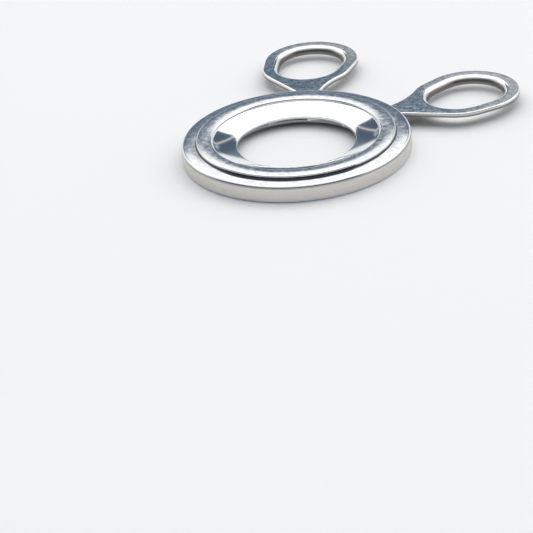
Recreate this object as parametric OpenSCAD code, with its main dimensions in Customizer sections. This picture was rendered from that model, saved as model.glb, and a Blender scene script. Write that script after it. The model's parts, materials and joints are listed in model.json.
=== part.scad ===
// Scissor-type egg topper. Squeezing the two finger loops turns a cam ring inside the drum,
// and the ring swings ten claws in below the dish's hole.
// Frame: Z is the axis of the dish's hole, Z = 0 is where the drum rests, +Y lies midway between the handles.

/* [Cap] */
// Outer radius of the drum
cap_r = 34; // [33:0.5:40]
// Height of the outer ring above the drum's rest face
ring_z = 5.4; // [5.3:0.05:6.5]
// Height of the raised inner ring above the outer ring
step_h = 1.15; // [0.9:0.05:1.6]
// Thickness of the cap's sheet
sheet_t = 0.75; // [0.6:0.05:0.8]
// Radius of the rounded upper edge of the skirt
rim_round = 0.9; // [0.6:0.1:1.2]
// Radius of the rolled lower edge of the skirt
foot_round = 1.0; // [0.8:0.1:1.2]
// Width of the turned-in foot, from the skirt's inner wall
foot_w = 2.0; // [1.4:0.1:2.1]
// Width of the flat outer ring, from the skirt to the step
outer_ring_w = 4.5; // [4:0.1:5]
// Width of the raised inner ring
inner_ring_w = 4.8; // [4.2:0.1:5]
// Height of the crown on both rings, so that they are not quite flat
ring_crown = 0.05; // [0:0.01:0.1]

/* [Dish] */
// Radius of the hole at the bottom of the dish
hole_r = 17.65; // [16:0.05:18.5]
// Height of the hole's upper edge above the rest face
hole_z = 3.65; // [3.6:0.05:4.2]
// Depth of the dish's rim below the top of the inner ring
dish_drop = 0.9; // [0.88:0.01:1]
// How far the dish sags below a straight cone
dish_sag = 0.1; // [0:0.02:0.2]

/* [Handles] */
// Angle between the two handles when the claws are drawn back
handle_spread = 58.8; // [56:0.2:66]
// Thickness of the handle plates
plate_t = 1.35; // [1.1:0.05:1.35]
// Distance from the drum's outer radius to the finger loop's centre
loop_reach = 25.5; // [24:0.5:30]
// Radius of the finger hole's outer end
finger_r = 9.8; // [9.4:0.1:11.5]
// Radius of the finger hole's end toward the drum
finger_near_r = 9.1; // [8.6:0.1:10.8]
// How far the finger hole's near end is drawn toward the drum
finger_draw = 5.0; // [3:0.2:6]
// Width of the band around the finger hole
band_w = 5.0; // [4:0.1:5.6]
// Depth of the drawn collar below the handle's top
collar_h = 2.6; // [2.5:0.1:3.6]
// Wall of the drawn collar
collar_t = 0.9; // [0.6:0.1:1.1]
// Radius from the handle's top into the collar
collar_round = 2.0; // [0.8:0.1:2.1]
// Radius of the plate's upper edges
edge_round = 0.5; // [0.3:0.05:0.7]
// Slope of the handle's straight outer edge
outer_slope = 39; // [36:1:41]
// Radius of the handle's hollow inner edge
hollow_r = 23; // [18:1:27]
// Distance of the handle's root from its centre line, on the outer side
root_w = 1.9; // [1.6:0.1:3]

/* [Mechanism] */
// Number of claws
claws = 10; // [8:1:10]
// Angle by which squeezing closes the handles
squeeze = 28; // [20:1:28]
// Angle by which each claw swings in
claw_swing = 16; // [10:1:18]
// Distance of the claw pivots in from the drum's outer radius
pivot_in = 4.8; // [4.7:0.1:5]
// Radius of the claw pivots
pivot_r = 1.1; // [0.9:0.05:1.2]
// Thickness of a claw
claw_t = 1.0; // [0.8:0.05:1.05]
// Distance of a drawn-back claw's tip outside the dish's hole
tip_back = 1.35; // [1.15:0.05:1.9]
// Angle from a claw's pivot to its tip, about the axis
tip_angle = 42; // [40:0.5:44]
// Distance of a drawn-back claw's drive pin in from the claw pivots' circle
pin_in = 1.2; // [1.1:0.1:1.4]
// Angle from a claw's pivot to its drive pin, about the axis
pin_angle = 14; // [13:0.5:15]
// Radius of the drive pins
pin_r = 0.8; // [0.6:0.05:0.85]
// Width of the drive ring
drive_w = 5.8; // [5.5:0.1:6]
// Width of the fixed handle's ring and the skirt around it
bearing_in = 4; // [3.8:0.05:4.1]
// Thickness of the base plate
base_t = 0.8; // [0.6:0.05:0.9]
// How much wider the base plate's opening is than the dish's hole, in radius
base_back = 2.35; // [1.85:0.05:4]

/* [Clearances] */
// Radial clearance of turning fits
run_gap = 0.05; // [0.03:0.01:0.1]
// Radial clearance of the drive ring and of the pins in their cam slots
slide_gap = 0.08; // [0.05:0.01:0.1]
// Gap between layers that move over each other
layer_gap = 0.1; // [0.08:0.01:0.12]
// Gap between a piece and the skirt around it
skirt_gap = 0.1; // [0.05:0.01:0.15]
// Angle left beyond each end of the moving handle's travel
stop_gap = 0.4; // [0.3:0.1:1]

/* [Hidden] */

$fn = 96;
arc_steps = 8;          // chords in a rounded edge
curve_steps = 24;       // chords in a long curve
lap = 0.2;              // how far one stretch of a swept edge runs on into the next
stand_back = 0.005;     // straight stretches lie this much inside round ones, so that no faces are tangent

// Levels, from the rest face up
foot_z = 0.7;                                   // top of the turned-in foot
base_top = foot_z + base_t;
claw_z = base_top + layer_gap;
claw_top = claw_z + claw_t;
fixed_top = ring_z - sheet_t;                   // underside of the outer ring
fixed_z = fixed_top - plate_t;
drive_top = fixed_top - layer_gap;
drive_z = drive_top - plate_t;
rivet_head_z = claw_top + layer_gap;
rivet_head_top = drive_z - layer_gap;
inner_z = ring_z + step_h;                      // top of the inner ring

// Radii of the cap
skirt_in_r = cap_r - sheet_t;
bearing_r = cap_r - bearing_in;                 // where the drive ring runs inside the fixed handle's ring
drive_in_r = bearing_r - drive_w;
pivot_dist = cap_r - pivot_in;                  // claw pivots, from the axis
pin_dist = pivot_dist - pin_in;                 // drive pins, from the axis, drawn back
tip_dist = hole_r + tip_back;                   // claw tips, from the axis, drawn back
base_hole_r = hole_r + base_back;
loop_dist = cap_r + loop_reach;                 // the finger loop's centre, from the axis
core_r = skirt_in_r - skirt_gap;                // what lies inside the skirt
foot_in_r = skirt_in_r - foot_w;
step_r = cap_r - outer_ring_w;
dish_r = step_r - inner_ring_w;
dish_z = inner_z - dish_drop;
join = 0.05;            // least distance between two stretches of the cap's section
step_round = 0.45;
step_fillet = 0.35;
bead_round = 0.65;
dish_fillet = 0.25;
hole_round = 0.2;

// Handle outline, in the handle's own frame: X out from the axis, +Y toward the other handle
near_side = -0.8;                               // the hole's near end leans toward the outer edge
near_x = loop_dist - finger_draw;
near_outer = finger_near_r + band_w;
hollow_slope = outer_slope + 2;
hollow_start = [near_x - near_outer * sin(hollow_slope), near_side + near_outer * cos(hollow_slope)];
hollow_c = hollow_start + hollow_r * [-sin(hollow_slope), cos(hollow_slope)];
root_in = hollow_c[1] - hollow_r;               // the root's edge on the inner side
outer_start = [near_x - near_outer * sin(outer_slope), near_side - near_outer * cos(outer_slope)];
outer_run = (-root_w - outer_start[1]) / sin(outer_slope);
outer_end = outer_start + outer_run * [-cos(outer_slope), sin(outer_slope)];

// How far the handle's two edges lie from its centre line, at a distance x from the axis
function outer_side(x) = root_w + max(0, x - outer_end[0]) * tan(outer_slope);
function inner_side(x) = hollow_c[1] - sqrt(hollow_r * hollow_r - pow(max(0, x - hollow_c[0]), 2));

fixed_angle = 90 - handle_spread / 2;
moving_angle = 90 + handle_spread / 2;

// The window through which the moving handle swings, as angles about the axis
inner_reach = max(asin(root_in / bearing_r), asin(inner_side(cap_r) / cap_r));
outer_reach = max(asin(root_w / bearing_r), asin(outer_side(cap_r) / cap_r));
window_from = moving_angle - squeeze - inner_reach - stop_gap;
window_to = moving_angle + outer_reach + stop_gap;

edge_strip = edge_round + 0.4;                  // width of the strip that carries a rounded edge
web_inset = edge_round + 0.2;                   // how far the web's own outline lies inside the handle's
corner_run = 1;                                 // how far strips cross where two of them meet at an angle
short_angle = 1;                                // how far the hollow edge ends short of the loop, in degrees

pitch = 360 / claws;
eye_wall = 1.2;                                 // a claw's width around its pivot
eye_r = pivot_r + eye_wall;
pin_boss_r = pin_r + 1.1;
eye_from_angle = 230;                           // where the round of a claw's eye starts and ends
eye_to_angle = 375;
boss_from_angle = 15;                           // and the round about its pin
boss_to_angle = 68;
blade_hollow = 3.4;                             // how far the blade's inner edge is drawn outside the tip
blade_back = 1.4;                               // how far its outer edge is drawn inside the pin
blade_inner_angle = 24;
blade_outer_angle = 31;
rivet_head_r = pivot_r + 0.9;
rivet_foot_r = pivot_r + 0.6;
rivet_foot_z = 0.25;
pivot_p = [pivot_dist, 0];
pin_p = polar(pin_dist, pin_angle);
tip_p = polar(tip_dist, tip_angle);
spacer_in_r = pivot_dist + eye_r + 0.3;

function polar(r, a) = [r * cos(a), r * sin(a)];

function turn(p, a) = [p[0] * cos(a) - p[1] * sin(a), p[0] * sin(a) + p[1] * cos(a)];

// Points of an arc about c, from angle a to angle b
function arc(c, r, a, b, n = arc_steps) = [for (i = [0:n]) c + polar(r, a + (b - a) * i / n)];

// Points between p and q that bow to the left of the way from p to q, by bow in the middle
function bowed(p, q, bow, n = arc_steps) =
    let (d = q - p, side = [-d[1], d[0]] / norm(d))
    [for (i = [0:n]) p + d * i / n + side * 4 * bow * (i / n) * (1 - i / n)];

// The points between p and q, without either, on a smooth curve that is drawn toward c
function curve(p, c, q, n = curve_steps) =
    [for (i = [1:n - 1]) let (t = i / n) (1 - t) * (1 - t) * p + 2 * t * (1 - t) * c + t * t * q];

// ---- Cap ----

// The cap's upper face, from the turned-in foot up over the skirt and down into the hole
function cap_top() =
    let (
        slope = atan2(dish_z - hole_z, dish_r - hole_r),
        lift = (1 - sin(slope)) / cos(slope),
        fillet_c = [dish_r - dish_fillet, dish_z + dish_fillet * lift],
        hole_c = [hole_r + hole_round, hole_z - hole_round * lift],
        dish_from = fillet_c + polar(dish_fillet, slope - 90),
        dish_to = hole_c + polar(hole_round, slope + 90)
    )
    concat(
        [[foot_in_r, 0]],
        arc([cap_r - foot_round, foot_round], foot_round, -90, 0),
        arc([cap_r - rim_round, ring_z - rim_round], rim_round, 0, 90),
        bowed([cap_r - rim_round - join, ring_z], [step_r + step_fillet + join, ring_z], -ring_crown),
        arc([step_r + step_fillet, ring_z + step_fillet], step_fillet, 270, 180),
        arc([step_r - step_round, inner_z - step_round], step_round, 0, 90),
        bowed([step_r - step_round - join, inner_z], [dish_r + bead_round + join, inner_z], -ring_crown),
        arc([dish_r + bead_round, inner_z - bead_round], bead_round, 90, 180),
        arc(fillet_c, dish_fillet, 0, slope - 90),
        bowed(dish_from + join * [-1, 0], dish_to + join * [1, 0], dish_sag),
        arc(hole_c, hole_round, slope + 90, 180)
    );

// The cap's underside, from the hole back to the foot
function cap_underside() = concat(
    bowed([hole_r, hole_z - sheet_t], [dish_r + sheet_t / 2, dish_z - 0.85 * sheet_t], -dish_sag),
    [
        [dish_r + sheet_t, dish_z - sheet_t / 2],
        [dish_r + sheet_t, inner_z - sheet_t],
        [step_r - sheet_t, inner_z - sheet_t],
        [step_r - sheet_t, fixed_top],
        [skirt_in_r, fixed_top],
        [skirt_in_r, foot_z],
        [foot_in_r, foot_z]
    ]
);

// A wedge of the plane between two angles, out to a radius
module sector(r, from, to) {
    polygon(concat([[0, 0]], arc([0, 0], r, from, to, curve_steps)));
}

module handle_window(from, to, z) {
    translate([0, 0, z])
        linear_extrude(fixed_top - z)
            intersection() {
                sector(2 * cap_r, from, to);
                difference() {
                    circle(cap_r + 1);
                    circle(step_r);
                }
            }
}

module cap() {
    color("silver")
    difference() {
        rotate_extrude() polygon(concat(cap_top(), cap_underside()));
        handle_window(window_from, window_to, drive_z - layer_gap);
        handle_notch();
    }
}

// The slot in the skirt that the fixed handle's root fills
module handle_notch() {
    out = outer_side(cap_r) + skirt_gap;
    rotate([0, 0, fixed_angle])
        translate([core_r - 1, -out, fixed_z - skirt_gap])
            cube([cap_r - core_r + 2, out + inner_side(cap_r) + skirt_gap, plate_t + skirt_gap]);
}

// ---- Handles ----

// Section of the band around the finger hole: X out from the hole's wall, Y up from the plate's top,
// both sides moved in by d
function band_section(d = 0) = concat(
    [[band_w - d, -plate_t]],
    arc([band_w - edge_round - d, -edge_round], edge_round, 0, 90),
    arc([collar_round + d, -collar_round], collar_round, 90, 180),
    arc([collar_t / 2, collar_t / 2 - collar_h], collar_t / 2 - d, 180, 360),
    [[collar_t - d, -plate_t]]
);

// Section of a plain plate edge, its outer face just inside X = 0
function edge_section() = concat(
    [[-stand_back, -plate_t]],
    arc([-edge_round - stand_back, -edge_round], edge_round, 0, 90),
    [[-edge_strip, 0], [-edge_strip, -plate_t]]
);

// The band, swept around the finger hole's two round ends and the two straight stretches between them
module finger_band() {
    dist = norm([finger_draw, near_side]);
    lean = atan2(near_side, -finger_draw);
    tilt = acos((finger_r - finger_near_r) / dist);
    straight = sqrt(dist * dist - pow(finger_r - finger_near_r, 2));
    translate([loop_dist, 0, 0]) {
        rotate([0, 0, lean + tilt])
            rotate_extrude(angle = 360 - 2 * tilt)
                translate([finger_r, 0]) polygon(band_section());
        translate([-finger_draw, near_side, 0])
            rotate([0, 0, lean - tilt])
                rotate_extrude(angle = 2 * tilt)
                    translate([finger_near_r, 0]) polygon(band_section());
        rotate([0, 0, lean + tilt])
            translate([finger_r, lap, 0])
                rotate([90, 0, 0])
                    linear_extrude(straight + 2 * lap) polygon(band_section(stand_back));
        rotate([0, 0, lean - tilt])
            translate([finger_r, straight + lap, 0])
                rotate([90, 0, 0])
                    linear_extrude(straight + 2 * lap) polygon(band_section(stand_back));
    }
}

// Outline of the web between the drum and the finger loop, drawn in from its rounded edges
module web_outline(inset, root_x) {
    difference() {
        polygon(concat(
            [
                [root_x, -root_w + inset],
                outer_end + inset * [tan(outer_slope / 2), 1],
                outer_start + inset * [sin(outer_slope), cos(outer_slope)],
                [near_x, near_side]
            ],
            arc(hollow_c, hollow_r + inset, hollow_slope - 90, -90, curve_steps),
            [[hollow_c[0] - lap, root_in], [root_x, root_in]]
        ));
        translate([near_x, near_side]) circle(finger_near_r + band_w / 2);
    }
}

// A straight rounded edge along X, its material on the side of -Y
module straight_edge(length) {
    rotate([90, 0, 90]) linear_extrude(length) polygon(edge_section());
}

// One handle with its finger loop, its top on Z = 0 and its root cut off at root_x
module handle(root_x) {
    finger_band();
    translate([0, 0, -plate_t]) linear_extrude(plate_t) web_outline(web_inset, root_x);
    // outer edge: along the root, then straight out to the loop
    translate([root_x, -root_w, 0])
        mirror([0, 1, 0]) straight_edge(outer_end[0] + corner_run - root_x);
    translate([outer_start[0], outer_start[1], 0])
        rotate([0, 0, 180 - outer_slope])
            translate([-lap, 0, 0]) straight_edge(outer_run + corner_run + lap);
    // hollow inner edge
    translate([hollow_c[0], hollow_c[1], 0])
        rotate([0, 0, -90])
            rotate_extrude(angle = hollow_slope - short_angle)
                translate([hollow_r, 0]) mirror([1, 0]) polygon(edge_section());
}

module fixed_handle() {
    color("lightsteelblue")
    difference() {
        union() {
            translate([0, 0, fixed_z]) cylinder(r = core_r, h = plate_t);
            translate([0, 0, fixed_top]) rotate([0, 0, fixed_angle]) handle(bearing_r - 2);
        }
        translate([0, 0, fixed_z - 1]) cylinder(r = bearing_r, h = plate_t + 2);
        translate([0, 0, fixed_z - 1])
            linear_extrude(plate_t + 2) sector(cap_r + 1, window_from, window_to);
    }
}

// Where a claw's drive pin stands in the turning ring's own frame, for a share of the squeeze
function cam_point(s) = turn(pivot_p + turn(pin_p - pivot_p, claw_swing * s), squeeze * s);

module cam_slot(r) {
    path = [for (i = [0:curve_steps]) cam_point(i / curve_steps)];
    way = [for (i = [0:curve_steps])
        let (d = cam_point(i / curve_steps + 0.001) - cam_point(i / curve_steps - 0.001)) d / norm(d)];
    left = [for (i = [0:curve_steps]) path[i] + r * [-way[i][1], way[i][0]]];
    right = [for (i = [curve_steps:-1:0]) path[i] + r * [way[i][1], -way[i][0]]];
    polygon(concat(left, right));
    translate(path[0]) circle(r);
    translate(path[curve_steps]) circle(r);
}

module drive_ring() {
    color("steelblue")
    union() {
        translate([0, 0, drive_z])
            difference() {
                cylinder(r = bearing_r - slide_gap, h = plate_t);
                translate([0, 0, -1]) cylinder(r = drive_in_r, h = plate_t + 2);
                for (i = [0:claws - 1])
                    rotate([0, 0, i * pitch])
                        translate([0, 0, -1]) linear_extrude(plate_t + 2) cam_slot(pin_r + slide_gap);
            }
        translate([0, 0, drive_top])
            rotate([0, 0, moving_angle]) mirror([0, 1, 0]) handle(bearing_r - 1);
    }
}

// ---- Inside the drum ----

module base_plate() {
    color("gainsboro")
    translate([0, 0, foot_z])
        difference() {
            cylinder(r = core_r, h = base_t);
            translate([0, 0, -1]) cylinder(r = base_hole_r, h = base_t + 2);
            for (i = [0:claws - 1])
                rotate([0, 0, i * pitch])
                    translate([pivot_dist, 0, -1]) cylinder(r = pivot_r, h = base_t + 2);
        }
}

module spacer_ring() {
    color("darkgray")
    translate([0, 0, base_top])
        difference() {
            cylinder(r = core_r, h = fixed_z - base_top);
            translate([0, 0, -1]) cylinder(r = spacer_in_r, h = fixed_z);
            // recess under the moving handle's window
            translate([0, 0, rivet_head_top - base_top])
                linear_extrude(fixed_z) sector(cap_r + 1, window_from, window_to);
        }
}

module rivet(i) {
    color("dimgray")
    rotate([0, 0, (i - 1) * pitch])
        translate([pivot_dist, 0, 0]) {
            translate([0, 0, rivet_foot_z]) cylinder(r = rivet_foot_r, h = foot_z - rivet_foot_z);
            translate([0, 0, foot_z]) cylinder(r = pivot_r, h = rivet_head_z - foot_z);
            translate([0, 0, rivet_head_z]) cylinder(r = rivet_head_r, h = rivet_head_top - rivet_head_z);
        }
}

// Outline of a claw whose pivot is at angle 0
module claw_outline() {
    polygon(concat(
        arc(pivot_p, eye_r, eye_from_angle, eye_to_angle, curve_steps),
        arc(pin_p, pin_boss_r, boss_from_angle, boss_to_angle),
        curve(pin_p + polar(pin_boss_r, boss_to_angle), polar(pin_dist - blade_back, blade_outer_angle), tip_p),
        [tip_p],
        curve(tip_p, polar(tip_dist + blade_hollow, blade_inner_angle), pivot_p + polar(eye_r, eye_from_angle))
    ));
}

module claw(i) {
    color("whitesmoke")
    rotate([0, 0, (i - 1) * pitch])
        difference() {
            translate([0, 0, claw_z]) linear_extrude(claw_t) claw_outline();
            translate([pivot_p[0], pivot_p[1], claw_z - 1]) cylinder(r = pivot_r + run_gap, h = claw_t + 2);
            translate([pin_p[0], pin_p[1], claw_z - 1]) cylinder(r = pin_r, h = claw_t + 2);
        }
}

module claw_pin(i) {
    color("lightgray")
    rotate([0, 0, (i - 1) * pitch])
        translate([pin_p[0], pin_p[1], claw_z]) cylinder(r = pin_r, h = drive_top - layer_gap - claw_z);
}

cap();
fixed_handle();
drive_ring();
base_plate();
spacer_ring();
for (i = [1:claws]) rivet(i);
for (i = [1:claws]) claw(i);
for (i = [1:claws]) claw_pin(i);
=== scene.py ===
"""Looks of the egg topper: its finishes, a pale floor, a studio room, soft boxes, the camera."""

import json
import logging
import math
from dataclasses import dataclass
from enum import Enum

import bmesh
import bpy
from mathutils import Matrix, Vector

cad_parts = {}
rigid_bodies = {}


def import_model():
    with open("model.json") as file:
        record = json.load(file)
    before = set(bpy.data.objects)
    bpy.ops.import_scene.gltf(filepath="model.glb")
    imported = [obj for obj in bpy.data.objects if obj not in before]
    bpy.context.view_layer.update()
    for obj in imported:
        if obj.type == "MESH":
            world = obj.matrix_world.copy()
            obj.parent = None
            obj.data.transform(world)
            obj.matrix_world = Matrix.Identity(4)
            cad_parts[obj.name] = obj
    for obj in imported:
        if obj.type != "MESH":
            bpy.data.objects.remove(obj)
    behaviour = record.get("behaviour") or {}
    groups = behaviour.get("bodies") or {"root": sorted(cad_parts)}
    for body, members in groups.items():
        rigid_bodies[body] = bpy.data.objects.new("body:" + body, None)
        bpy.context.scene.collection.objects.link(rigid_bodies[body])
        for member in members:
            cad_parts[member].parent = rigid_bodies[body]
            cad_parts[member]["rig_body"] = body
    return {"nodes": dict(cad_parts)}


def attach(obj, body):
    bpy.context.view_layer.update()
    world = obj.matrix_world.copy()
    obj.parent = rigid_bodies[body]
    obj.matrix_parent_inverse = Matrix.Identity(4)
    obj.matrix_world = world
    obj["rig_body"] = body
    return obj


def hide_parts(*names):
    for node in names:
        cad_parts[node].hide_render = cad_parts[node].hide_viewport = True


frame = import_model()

LOG = logging.getLogger("egg_topper")
MM = 0.001
Colour = tuple[float, float, float]
Stroke = tuple[float, float, float]
Span = tuple[float, float]
Socket = bpy.types.NodeSocket


class Step(Enum):
    """How a mask goes from 0 to 1."""

    SOFT = "SMOOTHSTEP"
    EVEN = "LINEAR"


class Num:
    """A number in a shader tree, on which Python's operators add Math nodes."""

    def __init__(self, tree: "Tree", socket: Socket) -> None:
        """Wraps a socket of the tree."""
        self.tree = tree
        self.socket = socket

    def _with(self, operation: str, *values: "Num | float") -> "Num":
        """Adds one Math node.

        Args:
            operation: the Math node's operation.
            values: its inputs, in order.

        Returns:
            The node's result.
        """
        node = self.tree.add("ShaderNodeMath", {"operation": operation}, dict(enumerate(values)))
        return Num(self.tree, node.outputs[0])

    def __add__(self, other: "Num | float") -> "Num":
        """Sum."""
        return self._with("ADD", self, other)

    __radd__ = __add__

    def __sub__(self, other: "Num | float") -> "Num":
        """Difference."""
        return self._with("SUBTRACT", self, other)

    def __rsub__(self, other: float) -> "Num":
        """Difference from a number."""
        return self._with("SUBTRACT", other, self)

    def __mul__(self, other: "Num | float") -> "Num":
        """Product."""
        return self._with("MULTIPLY", self, other)

    __rmul__ = __mul__

    def __truediv__(self, other: "Num | float") -> "Num":
        """Quotient."""
        return self._with("DIVIDE", self, other)

    def root(self) -> "Num":
        """Square root."""
        return self._with("SQRT", self)

    def angle_to(self, other: "Num") -> "Num":
        """Angle of the point (other, self), in radians."""
        return self._with("ARCTAN2", self, other)

    def larger(self, other: "Num | float") -> "Num":
        """The larger of two."""
        return self._with("MAXIMUM", self, other)

    def smaller(self, other: "Num | float") -> "Num":
        """The smaller of two."""
        return self._with("MINIMUM", self, other)

    def above(
        self, start: "Num | float", end: "Num | float", step: Step = Step.SOFT
    ) -> "Num":
        """A mask that goes from 0 at start to 1 at end.

        Args:
            start: where the mask is 0.
            end: where it is 1.
            step: how it goes between them.

        Returns:
            The mask.
        """
        settings = {"interpolation_type": step.value, "clamp": True}
        inputs = {"Value": self, "From Min": start, "From Max": end}
        return Num(self.tree, self.tree.add("ShaderNodeMapRange", settings, inputs).outputs[0])

    def between(self, low: float, high: float, soft: float) -> "Num":
        """A mask that is 1 between low and high, with ends that are soft by that much."""
        return self.above(low - soft, low + soft) * (1 - self.above(high - soft, high + soft))


Look = dict[str, Socket | Num]


class Tree:
    """The node tree of a material or of the world."""

    def __init__(self, owner: bpy.types.Material | bpy.types.World) -> None:
        """Empties the owner's node tree and takes it over."""
        owner.use_nodes = True
        self.tree = owner.node_tree
        self.tree.nodes.clear()

    def add(
        self, kind: str, settings: dict | None = None, inputs: dict | None = None
    ) -> bpy.types.Node:
        """Adds a node.

        Args:
            kind: the node's type.
            settings: its properties, which are set first.
            inputs: values, Nums or sockets by input name or number.

        Returns:
            The node.
        """
        node = self.tree.nodes.new(kind)
        for name, value in (settings or {}).items():
            setattr(node, name, value)
        for name, value in (inputs or {}).items():
            if isinstance(value, Num):
                value = value.socket
            if isinstance(value, Socket):
                self.tree.links.new(value, node.inputs[name])
            elif isinstance(value, tuple) and node.inputs[name].type == "RGBA":
                node.inputs[name].default_value = (*value, 1)
            else:
                node.inputs[name].default_value = value
        return node

    def point(self) -> Socket:
        """The point on the piece, in metres."""
        return self.add("ShaderNodeTexCoord").outputs["Object"]

    def split(self, vector: Socket, scale: float = 1.0) -> tuple[Num, Num, Num]:
        """A vector's three numbers, each times scale."""
        parts = self.add("ShaderNodeSeparateXYZ", None, {0: vector}).outputs
        return tuple(Num(self, part) * scale for part in parts)

    def join(self, x: Num | float, y: Num | float, z: Num | float) -> Socket:
        """A vector from three numbers."""
        return self.add("ShaderNodeCombineXYZ", None, {0: x, 1: y, 2: z}).outputs[0]

    def mixed(self, amount: Num, low: Colour | Socket, high: Colour | Socket) -> Socket:
        """A colour that goes from low to high as amount goes from 0 to 1."""
        inputs = {0: amount, 6: low, 7: high}
        return self.add("ShaderNodeMix", {"data_type": "RGBA"}, inputs).outputs[2]

    def noise(self, vector: Socket, scale: float, detail: float = 2.0, rough: float = 0.5) -> Num:
        """Cloudy noise from 0 to 1 with features of about 1 / scale of the vector's unit."""
        settings = {"noise_dimensions": "3D"}
        inputs = {"Vector": vector, "Scale": scale, "Detail": detail, "Roughness": rough}
        return Num(self, self.add("ShaderNodeTexNoise", settings, inputs).outputs[0])

    def bump(self, height: Num, distance: float, before: Socket | None = None) -> Socket:
        """The normal over a height, whose 1 stands distance high, on top of one before it."""
        inputs = {"Height": height, "Distance": distance, "Strength": 1.0}
        if before is not None:
            inputs["Normal"] = before
        return self.add("ShaderNodeBump", None, inputs).outputs[0]


class Lay(Enum):
    """Which way the fine marks of a finish run."""

    TURNED = "rings about the axis"
    LAPPED = "short strokes every way"
    ROLLED = "straight along the sheet"


@dataclass(frozen=True)
class Steel:
    """A bare stainless finish.

    Sizes are in millimetres. Shade and light are factors on the colour, for its dark and its
    light spots.
    """

    colour: Colour
    shade: float
    light: float
    rough: float
    rough_spread: float
    wave: float
    mark: float
    lay: Lay

    def tone(self, factor: float) -> Colour:
        """The colour times a factor."""
        return tuple(min(1.0, factor * part) for part in self.colour)


@dataclass(frozen=True)
class Grain:
    """The fine structure that every steel finish shares.

    A stroke is its angle in degrees, its length and its width. Lengths are in millimetres, a
    scale is in features per metre, and an edge is where a mask goes from 0 to 1.
    """

    long_strokes: tuple[Stroke, ...] = ((17, 4.2, 0.16), (71, 3.1, 0.14), (128, 4.8, 0.18))
    short_strokes: tuple[Stroke, ...] = ((44, 1.3, 0.11), (99, 1.1, 0.1), (158, 1.5, 0.12))
    long_share: float = 0.6
    short_share: float = 0.5
    stroke_edge: Span = (0.62, 0.76)
    per_mm: float = 9.0
    ring_breaks: float = 1.2
    sheet_along: float = 0.4
    sheet_through: float = 3.0
    mark_rough: float = 0.6
    cloud_scale: float = 640.0
    cloud_detail: float = 5.0
    cloud_rough: float = 0.68
    cloud_edge: Span = (0.34, 0.66)
    lapped_cloud: float = 0.62
    other_cloud: float = 0.3
    swell_scale: float = 520.0
    least_rough: float = 0.03


GRAIN = Grain()


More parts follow.
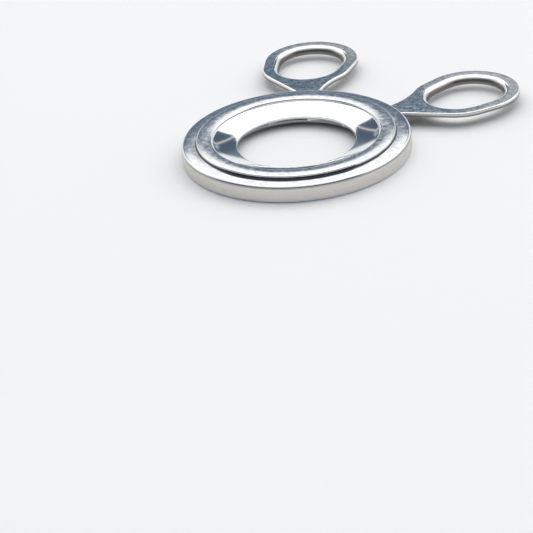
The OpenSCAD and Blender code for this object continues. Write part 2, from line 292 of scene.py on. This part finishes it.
@dataclass
class Dress:
    """One steel material, painted onto the pieces that share it."""

    name: str

    def __post_init__(self) -> None:
        """Makes the empty material and the numbers that every finish reads."""
        self.material = bpy.data.materials.new(self.name)
        self.tree = Tree(self.material)
        self.vector = self.tree.point()
        self.x, self.y, self.z = self.tree.split(self.vector, 1 / MM)
        self.radius = (self.x * self.x + self.y * self.y).root()

    def strokes(self, angle: float, length: float, width: float) -> Num:
        """Fine strokes across the plane, 0 to 1.

        Args:
            angle: their direction in degrees.
            length: how long a stroke is, in millimetres.
            width: how wide it is, in millimetres.

        Returns:
            A mask that is 1 in a stroke.
        """
        c, s = math.cos(math.radians(angle)), math.sin(math.radians(angle))
        along = (self.x * c + self.y * s) / length
        across = (self.y * c - self.x * s) / width
        field = self.tree.noise(self.tree.join(along, across, self.z), 1.0, 1.0)
        return field.above(*GRAIN.stroke_edge)

    def scatter(self, strokes: tuple[Stroke, ...]) -> Num:
        """The sum of three lays of strokes, each given as angle, length and width."""
        first, second, third = (self.strokes(*stroke) for stroke in strokes)
        return first + second + third

    def marks(self, lay: Lay) -> Num:
        """The fine marks of a finish, from 0 to 1."""
        if lay is Lay.LAPPED:
            long, short = self.scatter(GRAIN.long_strokes), self.scatter(GRAIN.short_strokes)
            return (long * GRAIN.long_share + short * GRAIN.short_share).smaller(1.0)
        fine = GRAIN.per_mm
        if lay is Lay.TURNED:
            turn = self.y.angle_to(self.x) * GRAIN.ring_breaks
            place = self.tree.join(self.radius * fine, turn, self.z * fine)
        else:
            along, through = self.x * GRAIN.sheet_along, self.z * GRAIN.sheet_through
            place = self.tree.join(along, self.y * fine, through)
        return self.tree.noise(place, 1.0, rough=GRAIN.mark_rough)

    def finish(self, steel: Steel) -> Look:
        """The colour, roughness and normal of one finish.

        Args:
            steel: the finish.

        Returns:
            Sockets for Base Color, Roughness and Normal.
        """
        tree = self.tree
        cloud = tree.noise(self.vector, GRAIN.cloud_scale, GRAIN.cloud_detail, GRAIN.cloud_rough)
        marks = self.marks(steel.lay)
        share = GRAIN.lapped_cloud if steel.lay is Lay.LAPPED else GRAIN.other_cloud
        spots = cloud.above(*GRAIN.cloud_edge) * share + marks * (1 - share)
        normal = tree.bump(marks, steel.mark * MM)
        if steel.wave:
            normal = tree.bump(tree.noise(self.vector, GRAIN.swell_scale), steel.wave * MM, normal)
        rough = steel.rough + (spots - 0.5) * steel.rough_spread * 2
        return {
            "Base Color": tree.mixed(spots, steel.tone(steel.shade), steel.tone(steel.light)),
            "Roughness": rough.larger(GRAIN.least_rough),
            "Normal": normal,
        }

    def blend(self, mask: Num, below: Look, above: Look) -> Look:
        """Lays one finish over another where the mask is 1.

        Args:
            mask: where the upper finish shows.
            below: the lower finish's sockets.
            above: the upper finish's sockets.

        Returns:
            The sockets of the two together.
        """
        inputs = {0: mask, 4: below["Normal"], 5: above["Normal"]}
        normal = self.tree.add("ShaderNodeMix", {"data_type": "VECTOR"}, inputs)
        return {
            "Base Color": self.tree.mixed(mask, below["Base Color"], above["Base Color"]),
            "Roughness": below["Roughness"] * (1 - mask) + above["Roughness"] * mask,
            "Normal": normal.outputs[1],
        }

    def paint_shade(self, mask: Num, look: Look, colour: Colour, rough: float) -> Look:
        """Paints shade into the colour: lays a dark colour, with its own roughness, over a finish.

        Args:
            mask: where the shade is painted.
            look: the finish's sockets.
            colour: the painted shade's colour.
            rough: its roughness.

        Returns:
            The sockets of the two together.
        """
        return {
            "Base Color": self.tree.mixed(mask, look["Base Color"], colour),
            "Roughness": look["Roughness"] * (1 - mask) + mask * rough,
            "Normal": look["Normal"],
        }

    def close(self, look: Look) -> bpy.types.Material:
        """Puts the sockets on the shader and returns the material."""
        inputs = {"Metallic": 1.0, **look}
        shader = self.tree.add("ShaderNodeBsdfPrincipled", None, inputs)
        self.tree.add("ShaderNodeOutputMaterial", None, {"Surface": shader.outputs[0]})
        return self.material


class Wear(Enum):
    """How a CAD node wears its finish."""

    MERGED = "on a merged, smoothly shaded copy"
    BARE = "on the node itself"


@dataclass(frozen=True)
class Merge:
    """How a copy of a CAD node is merged and shaded. Lengths are in millimetres."""

    join_below: float = 0.0004
    drop_below: float = 0.0001
    crease_deg: float = 30.0
    weight: int = 50


def merged(node: bpy.types.Object, material: bpy.types.Material, how: Merge) -> bpy.types.Object:
    """Makes a merged, smoothly shaded copy that stands for a CAD node.

    Args:
        node: the CAD node's object.
        material: what the copy wears.
        how: how it is merged and which edges stay sharp.

    Returns:
        The copy.
    """
    mesh = bmesh.new()
    mesh.from_mesh(node.data)
    bmesh.ops.remove_doubles(mesh, verts=mesh.verts, dist=how.join_below * MM)
    bmesh.ops.dissolve_degenerate(mesh, dist=how.drop_below * MM, edges=mesh.edges)
    for face in mesh.faces:
        face.smooth = True
        face.material_index = 0
    for edge in mesh.edges:
        edge.smooth = edge.calc_face_angle(0.0) < math.radians(how.crease_deg)
    data = bpy.data.meshes.new(f"{node.name}_smooth")
    mesh.to_mesh(data)
    mesh.free()
    for name in ("custom_normal", "sharp_face"):
        if name in data.attributes:
            data.attributes.remove(data.attributes[name])
    data.materials.append(material)
    piece = bpy.data.objects.new(f"{node.name}_finished", data)
    bpy.context.scene.collection.objects.link(piece)
    shade = piece.modifiers.new("even_shading", "WEIGHTED_NORMAL")
    shade.mode, shade.weight, shade.keep_sharp = "FACE_AREA", how.weight, True
    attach(piece, node["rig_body"])
    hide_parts(node.name)
    return piece


def put_on(
    node: bpy.types.Object, material: bpy.types.Material, wear: Wear = Wear.BARE
) -> bpy.types.Object:
    """Gives a CAD node its material.

    Args:
        node: the CAD node's object.
        material: what it wears.
        wear: on the node itself, or on a merged copy that stands for it.

    Returns:
        The object that wears the material.
    """
    if wear is Wear.MERGED:
        return merged(node, material, Merge())
    for place in node.material_slots:
        place.link = "OBJECT"
        place.material = material
    return node


@dataclass
class Drum:
    """The cap with its rings, dish and skirt.

    Sizes are in millimetres, as in the part's source. The fields from edge_soft on place the
    finishes' limits: a span gives how far from its edge a limit starts and ends.
    """

    skirt_r: float = 34.0
    rim_r: float = 33.1
    rim_z: float = 4.5
    step_r: float = 29.5
    step_foot_r: float = 29.87
    step_top_r: float = 29.05
    bead_r: float = 25.35
    dish_r: float = 24.7
    hole_r: float = 17.65
    hole_z: float = 3.65
    ring_z: float = 5.4
    inner_z: float = 6.55
    dish_rise: float = 2.0
    edge_soft: float = 0.12
    face_below: Span = (0.15, 0.05)
    dish_soft: float = 0.2
    skirt_in: Span = (0.05, 0.02)
    skirt_soft: float = 0.2
    groove: Span = (-0.05, 0.34)
    groove_soft: float = 0.05
    groove_top: Span = (0.3, 0.6)
    rim_out: Span = (0.62, 0.72)
    rim_up: Span = (-0.12, 0.42)
    rim_soft: float = 0.08
    rim_share: float = 0.6
    bead_w: float = 0.4
    step_span: Span = (-0.4, 0.2)
    inner_depth: Span = (0.36, 0.44)
    inner_wall: Span = (0.7, 0.65)
    outer_fall: float = 0.055
    # Colour of the shade painted into the groove and into the line under the rim.
    painted_shade: Colour = (0.05, 0.05, 0.053)
    groove_rough: float = 0.25
    rim_rough: float = 0.2
    lapped: Steel = Steel(
        (0.80, 0.82, 0.845), 0.68, 1.14, 0.12, 0.05, 0.003, 0.0006, Lay.LAPPED)
    polished: Steel = Steel(
        (0.82, 0.835, 0.85), 0.96, 1.02, 0.07, 0.01, 0.0, 0.0003, Lay.TURNED)
    mirror: Steel = Steel(
        (0.86, 0.87, 0.88), 0.97, 1.02, 0.065, 0.01, 0.003, 0.0002, Lay.TURNED)
    satin: Steel = Steel(
        (0.635, 0.617, 0.576), 0.93, 1.05, 0.30, 0.03, 0.0, 0.0008, Lay.TURNED)
    inside: Steel = Steel(
        (0.50, 0.505, 0.51), 0.8, 1.1, 0.34, 0.05, 0.0, 0.001, Lay.TURNED)

    def flat(self, dress: Dress, inner: float, outer: float, face: float) -> Num:
        """A mask over a ring's flat.

        Args:
            dress: the cap's material.
            inner: the flat's inner radius.
            outer: its outer radius.
            face: its height.

        Returns:
            The mask.
        """
        low, high = self.face_below
        ring = dress.radius.between(inner, outer, self.edge_soft)
        return ring * dress.z.above(face - low, face - high)

    def groove_shade_mask(self, dress: Dress) -> Num:
        """Where shade is painted into the groove at the foot of the step, where the upper flat
        meets the lower one.
        """
        near, far = (self.step_r + reach for reach in self.groove)
        low, high = (self.ring_z + rise for rise in self.groove_top)
        ring = dress.radius.between(near, far, self.groove_soft)
        return ring * (1 - dress.z.above(low, high))

    def rim_shade_mask(self, dress: Dress) -> Num:
        """A line of painted shade under the rounding of the rim."""
        near, far = (self.rim_r + reach for reach in self.rim_out)
        low, high = (self.rim_z + rise for rise in self.rim_up)
        line = dress.radius.above(near, far) * dress.z.between(low, high, self.rim_soft)
        return line * self.rim_share

    def skirt_mask(self, dress: Dress) -> Num:
        """The outer side of the skirt."""
        near, far = (self.skirt_r - reach for reach in self.skirt_in)
        below_rim = 1 - dress.z.above(self.rim_z - self.skirt_soft, self.rim_z)
        return dress.radius.above(near, far) * below_rim

    def inner_mask(self, dress: Dress) -> Num:
        """The inner side of the sheet, which no polish reaches."""
        r = dress.radius
        dish = r.above(self.hole_r, self.dish_r, Step.EVEN) * self.dish_rise
        bead_h = self.inner_z - self.hole_z - self.dish_rise
        bead = r.above(self.dish_r, self.dish_r + self.bead_w) * bead_h
        near, far = (self.step_r + reach for reach in self.step_span)
        step = r.above(near, far) * (self.inner_z - self.ring_z)
        depth = dish + bead - step + self.hole_z - dress.z
        near, far = (self.skirt_r - reach for reach in self.inner_wall)
        return depth.above(*self.inner_depth) * (1 - r.above(near, far))

    def lapped_flats(self, dress: Dress) -> Look:
        """The lapped finish, on which the outer ring's flat falls a little outward."""
        look = dress.finish(self.lapped)
        out = dress.radius.above(self.step_foot_r, self.skirt_r, Step.EVEN)
        fall = out * (self.step_foot_r - self.skirt_r) * self.outer_fall
        look["Normal"] = dress.tree.bump(fall, MM, look["Normal"])
        return look

    def material(self) -> bpy.types.Material:
        """Polished steel with lapped flats on both rings, a mirror dish, a satin skirt, and shade
        painted into the groove and under the rim.
        """
        dress = Dress("cap_steel")
        outer = self.flat(dress, self.step_foot_r, self.rim_r, self.ring_z)
        inner = self.flat(dress, self.bead_r, self.step_top_r, self.inner_z)
        dish = 1 - dress.radius.above(self.dish_r - self.dish_soft, self.dish_r)
        look = dress.blend(outer + inner, dress.finish(self.polished), self.lapped_flats(dress))
        look = dress.blend(dish, look, dress.finish(self.mirror))
        look = dress.blend(self.skirt_mask(dress), look, dress.finish(self.satin))
        # Painted shade: a dark groove at the foot of the step.
        look = dress.paint_shade(self.groove_shade_mask(dress), look, self.painted_shade, self.groove_rough)
        # Painted shade: a dark line under the rim's rounding.
        look = dress.paint_shade(self.rim_shade_mask(dress), look, self.painted_shade, self.rim_rough)
        look = dress.blend(self.inner_mask(dress), look, dress.finish(self.inside))
        return dress.close(look)

    def dress(self, nodes: dict[str, bpy.types.Object]) -> None:
        """Gives the cap its material."""
        put_on(nodes["cap"], self.material(), Wear.MERGED)
        LOG.info("cap dressed")


@dataclass
class Handles:
    """The two handles with their finger loops, collars pressed down from the sheet and the rings
    they end in.

    Sizes are in millimetres. A span gives how far below the plate's top, or above the collar's
    lip, a limit starts and ends.
    """

    top_z: float = 4.65
    drop: float = 0.1
    edge_round: float = 0.5
    edge_soft: float = 0.2
    drum_r: float = 34.0
    loop_end_r: float = 74.0
    loop_x: float = 27.7
    collar_h: float = 2.6
    face_below: Span = (0.05, 0.01)
    wear_inset: float = 6.0
    wear_scale: float = 90.0
    wear_wander: float = 14.0
    moving_lean: float = 0.9
    # These fields set where the shade painted on the collar's wall lies and how dark it is; the
    # lip gets less of it.
    wall_below: Span = (1.15, 0.2)
    lip_above: Span = (0.1, 0.45)
    lip_spared: float = 0.75
    collar_shade_share: float = 0.92
    collar_shade: Colour = (0.17, 0.16, 0.145)
    collar_shade_rough: float = 0.32
    root: Steel = Steel(
        (0.52, 0.585, 0.645), 0.70, 1.22, 0.11, 0.05, 0.003, 0.0006, Lay.LAPPED)
    worn: Steel = Steel(
        (0.64, 0.64, 0.63), 0.84, 1.12, 0.19, 0.05, 0.003, 0.0007, Lay.LAPPED)
    edge: Steel = Steel(
        (0.83, 0.835, 0.84), 0.94, 1.03, 0.10, 0.02, 0.0, 0.0004, Lay.ROLLED)
    collar: Steel = Steel(
        (0.70, 0.69, 0.67), 0.86, 1.06, 0.30, 0.05, 0.0, 0.001, Lay.TURNED)

    def face(self, dress: Dress, lean: float) -> Look:
        """The plate's flat, satin at the root and worn by fingers toward the loop.

        Args:
            dress: the handle's material.
            lean: how much less worn the outer side of the loop is.

        Returns:
            The flat's sockets.
        """
        outer = (dress.x + self.loop_x).smaller(0.0) * lean
        wander = dress.tree.noise(dress.vector, self.wear_scale) * self.wear_wander
        reach = dress.radius + outer + wander - self.wear_wander / 2
        worn = reach.above(self.drum_r + self.wear_inset, self.loop_end_r - self.wear_inset)
        return dress.blend(worn, dress.finish(self.root), dress.finish(self.worn))

    def collar_shade_mask(self, dress: Dress, top: float) -> Num:
        """Where shade is painted on the collar's wall under a plate top, with less of it on the
        lip.
        """
        high, low = (top - depth for depth in self.wall_below)
        wall = 1 - dress.z.above(high, low)
        start, end = (top - self.collar_h + height for height in self.lip_above)
        lip = 1 - dress.z.above(start, end)
        return wall * (1 - lip * self.lip_spared) * self.collar_shade_share

    def material(self, name: str, top: float, lean: float = 0.0) -> bpy.types.Material:
        """Steel with satin flats, bright rounded edges and collars with shade painted on their
        walls.

        Args:
            name: the material's name.
            top: height of the plate's top.
            lean: how much less worn the outer side of the loop is.

        Returns:
            The material.
        """
        dress = Dress(name)
        start, end = (top - depth for depth in self.face_below)
        flats = dress.z.above(start, end)
        round_z = top - self.edge_round
        below = 1 - dress.z.above(round_z - self.edge_soft, round_z)
        look = dress.blend(below, dress.finish(self.edge), dress.finish(self.collar))
        # Painted shade on the collar's wall.
        look = dress.paint_shade(self.collar_shade_mask(dress, top), look, self.collar_shade, self.collar_shade_rough)
        return dress.close(dress.blend(flats, look, self.face(dress, lean)))

    def dress(self, nodes: dict[str, bpy.types.Object]) -> None:
        """Gives each handle its material."""
        fixed = self.material("fixed_handle_steel", self.top_z)
        moving = self.material("drive_ring_steel", self.top_z - self.drop, self.moving_lean)
        put_on(nodes["fixed_handle"], fixed, Wear.MERGED)
        put_on(nodes["drive_ring"], moving, Wear.MERGED)
        LOG.info("handles dressed")


@dataclass
class Works:
    """What lies inside the drum: base plate, spacer, rivets, claws and their pins.

    Sizes are in millimetres.
    """

    claws: int = 10
    tip_r: float = 19.0
    whetted: Span = (0.8, 2.6)
    sheet: Steel = Steel(
        (0.62, 0.63, 0.64), 0.85, 1.1, 0.30, 0.06, 0.006, 0.002, Lay.ROLLED)
    turned: Steel = Steel(
        (0.58, 0.585, 0.59), 0.85, 1.1, 0.26, 0.05, 0.0, 0.002, Lay.TURNED)
    bright: Steel = Steel(
        (0.66, 0.66, 0.66), 0.85, 1.1, 0.20, 0.05, 0.0, 0.002, Lay.ROLLED)
    ground: Steel = Steel(
        (0.70, 0.71, 0.72), 0.80, 1.12, 0.20, 0.06, 0.0, 0.003, Lay.LAPPED)
    blade: Steel = Steel(
        (0.84, 0.85, 0.86), 0.92, 1.05, 0.10, 0.03, 0.0, 0.001, Lay.ROLLED)

    def plain(self, name: str, steel: Steel) -> bpy.types.Material:
        """A material of one finish."""
        dress = Dress(name)
        return dress.close(dress.finish(steel))

    def claw_material(self) -> bpy.types.Material:
        """Ground steel that is whetted bright toward the tip."""
        dress = Dress("claw_steel")
        start, end = (self.tip_r + reach for reach in self.whetted)
        bright = 1 - dress.radius.above(start, end)
        look = dress.blend(bright, dress.finish(self.ground), dress.finish(self.blade))
        return dress.close(look)

    def dress(self, nodes: dict[str, bpy.types.Object]) -> None:
        """Gives every inner piece its material."""
        put_on(nodes["base_plate"], self.plain("base_plate_steel", self.sheet))
        put_on(nodes["spacer_ring"], self.plain("spacer_steel", self.turned))
        rivet, claw = self.plain("rivet_steel", self.bright), self.claw_material()
        pin = self.plain("pin_steel", self.bright)
        for i in range(1, self.claws + 1):
            put_on(nodes[f"rivet_{i}"], rivet)
            put_on(nodes[f"claw_{i}"], claw)
            put_on(nodes[f"claw_pin_{i}"], pin)
        LOG.info("inner pieces dressed")


@dataclass(frozen=True)
class SoftBox:
    """A square lamp that looks at the drum. Lengths are in metres."""

    name: str
    place: tuple[float, float, float]
    side: float
    watts: float

    def hang(self) -> bpy.types.Object:
        """Hangs the lamp."""
        data = bpy.data.lights.new(self.name, "AREA")
        data.shape, data.size, data.energy = "SQUARE", self.side, self.watts
        lamp = bpy.data.objects.new(self.name, data)
        toward = Vector(self.place).to_track_quat("Z", "Y")
        lamp.matrix_world = Matrix.Translation(self.place) @ toward.to_matrix().to_4x4()
        bpy.context.scene.collection.objects.link(lamp)
        return lamp


@dataclass
class Room:
    """The room that the steel mirrors, painted on the world.

    Every limit is a span of one of three numbers of a direction: its height (the sine of its
    elevation), its front (the cosine of its bearing from the camera's side) and its width (the
    sine of that bearing, to either side).
    """

    azimuth: float
    ceiling: Colour = (1.0, 1.0, 1.0)
    light_bank: Colour = (1.45, 1.45, 1.45)
    back_wall: Colour = (0.185, 0.24, 0.305)
    back_edge: Colour = (0.085, 0.12, 0.165)
    dark_room: Colour = (0.035, 0.038, 0.045)
    horizon: Colour = (0.92, 0.93, 0.94)
    least_flat: float = 0.0001
    front_turn: Span = (-0.55, 0.15)
    stripe: Span = (0.226, 0.238)
    stripe_soft: float = 0.005
    stripe_share: float = 0.7
    edge_width: Span = (0.12, 0.18)
    end_width: Span = (0.31, 0.35)
    front_pale: Span = (0.36, 0.56)
    wall_top: float = 0.416
    wall_soft: float = 0.024
    front_lower: float = 0.29
    front_upper: float = 0.39
    side_width: Span = (0.20, 0.42)
    side_soft: float = 0.05
    side_rise: float = 0.1
    window_side: Span = (0.91, 0.94)
    window_front: Span = (-0.35, -0.25)
    bank_top: Span = (0.60, 0.74)
    horizon_top: Span = (0.14, 0.22)
    lift_width: Span = (0.17, 0.22)
    lift: float = 0.12

    def directions(self, tree: Tree) -> tuple[Num, Num, Num]:
        """The height, front and side of a direction."""
        x, y, z = tree.split(tree.add("ShaderNodeTexCoord").outputs["Generated"])
        az = math.radians(self.azimuth)
        flat = (x * x + y * y).larger(self.least_flat).root()
        front = (x * math.sin(az) - y * math.cos(az)) / flat
        side = (x * math.cos(az) + y * math.sin(az)) / flat
        return z, front, side

    def walls(self, tree: Tree, z: Num, before: Num, width: Num) -> Socket:
        """A grey-blue wall behind with a pale stripe to each side, and a dark room before.

        Args:
            tree: the world's tree.
            z: the direction's height.
            before: a mask that is 1 on the camera's side.
            width: the direction's width.

        Returns:
            The walls' colour.
        """
        stripe = width.between(*self.stripe, self.stripe_soft) * self.stripe_share
        ends = (width.above(*self.end_width) + stripe).smaller(1.0)
        card = tree.mixed(width.above(*self.edge_width), self.back_wall, self.back_edge)
        card = tree.mixed(ends, card, self.horizon)
        dark = tree.mixed(z.above(*self.front_pale), self.dark_room, self.back_wall)
        return tree.mixed(before, card, dark)

    def paint(self) -> bpy.types.World:
        """Makes the world: white above, walls around and a pale horizon."""
        world = bpy.data.worlds.new("studio")
        bpy.context.scene.world = world
        tree = Tree(world)
        z, front, side = self.directions(tree)
        before = front.above(*self.front_turn)
        behind = 1 - before
        width = side.larger(side * -1)
        wall = self.walls(tree, z, before, width)
        window = side.above(*self.window_side) * front.above(*self.window_front)
        wall = tree.mixed(window, wall, self.ceiling)
        rise = width.between(*self.side_width, self.side_soft) * behind * self.side_rise
        lower = rise + self.wall_top + before * self.front_lower
        upper = rise + self.wall_top + self.wall_soft + before * self.front_upper
        bank = (1 - z.above(*self.bank_top)) * behind
        above = tree.mixed(bank, self.ceiling, self.light_bank)
        room = tree.mixed(z.above(lower, upper), wall, above)
        lift = width.above(*self.lift_width) * behind * self.lift
        low, high = (lift + height for height in self.horizon_top)
        room = tree.mixed(z.above(low, high), self.horizon, room)
        surface = tree.add("ShaderNodeBackground", None, {"Color": room, "Strength": 1.0})
        tree.add("ShaderNodeOutputWorld", None, {"Surface": surface.outputs[0]})
        return world


@dataclass
class Studio:
    """Pale floor, room, lamps and the camera at the photograph's viewing angle.

    Angles are in degrees. Camera lengths ending in px are in the photograph's pixels.
    """

    azimuth: float = 35.9
    elevation: float = 24.9
    roll: float = -4.70
    focal_px: float = 2400.0
    frame_px: float = 533.0
    centre_px: tuple[float, float] = (297.3, 152.5)
    distance_mm: float = 710.7
    sensor_mm: float = 36.0
    clip_m: tuple[float, float] = (0.01, 50)
    floor_half: float = 6.0
    floor_drop_mm: float = 0.02
    paper: tuple[Colour, Colour] = ((0.93, 0.93, 0.93), (0.95, 0.95, 0.95))
    paper_grain: tuple[float, float] = (900, 3.0)
    paper_rough: float = 0.9
    paper_shine: float = 0.1
    lamps: tuple[SoftBox, ...] = (
        SoftBox("soft_box_over", (-0.25, 0.35, 1.1), 1.05, 2.0),
        SoftBox("soft_box_right", (0.475, 0.794, 0.9), 0.94, 1.6),
    )

    def camera(self) -> bpy.types.Object:
        """The camera, which sees the drum at the place where the photograph has it."""
        az, el, roll = (math.radians(v) for v in (self.azimuth, self.elevation, self.roll))
        back = Vector((math.sin(az) * math.cos(el), -math.cos(az) * math.cos(el), math.sin(el)))
        right = Vector((math.cos(az), math.sin(az), 0))
        up = back.cross(right)
        c, s = math.cos(roll), math.sin(roll)
        level, rise = c * right + s * up, -s * right + c * up
        turned = Matrix((level, rise, back)).transposed()
        half = self.frame_px / 2
        column, row = self.centre_px
        sight = Vector((column - half, half - row, -self.focal_px)).normalized()
        turned = turned @ sight.rotation_difference(Vector((0, 0, -1))).to_matrix()
        data = bpy.data.cameras.new("photo_camera")
        data.lens = self.focal_px / self.frame_px * self.sensor_mm
        data.sensor_width = self.sensor_mm
        data.clip_start, data.clip_end = self.clip_m
        camera = bpy.data.objects.new("photo_camera", data)
        place = Matrix.Translation(back * self.distance_mm * MM)
        camera.matrix_world = place @ turned.to_4x4()
        bpy.context.scene.collection.objects.link(camera)
        bpy.context.scene.camera = camera
        return camera

    def paper_material(self) -> bpy.types.Material:
        """Pale paper with a faint grain."""
        material = bpy.data.materials.new("floor_paper")
        tree = Tree(material)
        colour = tree.mixed(tree.noise(tree.point(), *self.paper_grain), *self.paper)
        inputs = {
            "Base Color": colour,
            "Roughness": self.paper_rough,
            "Specular IOR Level": self.paper_shine,
        }
        shader = tree.add("ShaderNodeBsdfPrincipled", None, inputs)
        tree.add("ShaderNodeOutputMaterial", None, {"Surface": shader.outputs[0]})
        return material

    def floor(self) -> bpy.types.Object:
        """A plain pale floor, just under the drum's foot."""
        mesh = bmesh.new()
        bmesh.ops.create_grid(mesh, x_segments=1, y_segments=1, size=self.floor_half)
        bmesh.ops.translate(mesh, verts=mesh.verts, vec=(0, 0, -self.floor_drop_mm * MM))
        data = bpy.data.meshes.new("floor")
        mesh.to_mesh(data)
        mesh.free()
        floor = bpy.data.objects.new("floor", data)
        bpy.context.scene.collection.objects.link(floor)
        data.materials.append(self.paper_material())
        return floor

    def build(self) -> None:
        """Sets up the camera, the floor, the room and the lamps."""
        self.camera()
        self.floor()
        Room(self.azimuth).paint()
        for lamp in self.lamps:
            lamp.hang()
        LOG.info("studio set up")


def main() -> None:
    """Builds the scene piece by piece."""
    logging.basicConfig(level=logging.INFO, format="%(name)s: %(message)s")
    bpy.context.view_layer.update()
    bpy.context.scene.view_settings.view_transform = "Standard"
    Drum().dress(frame["nodes"])
    Handles().dress(frame["nodes"])
    Works().dress(frame["nodes"])
    Studio().build()


if __name__ == "__main__":
    main()
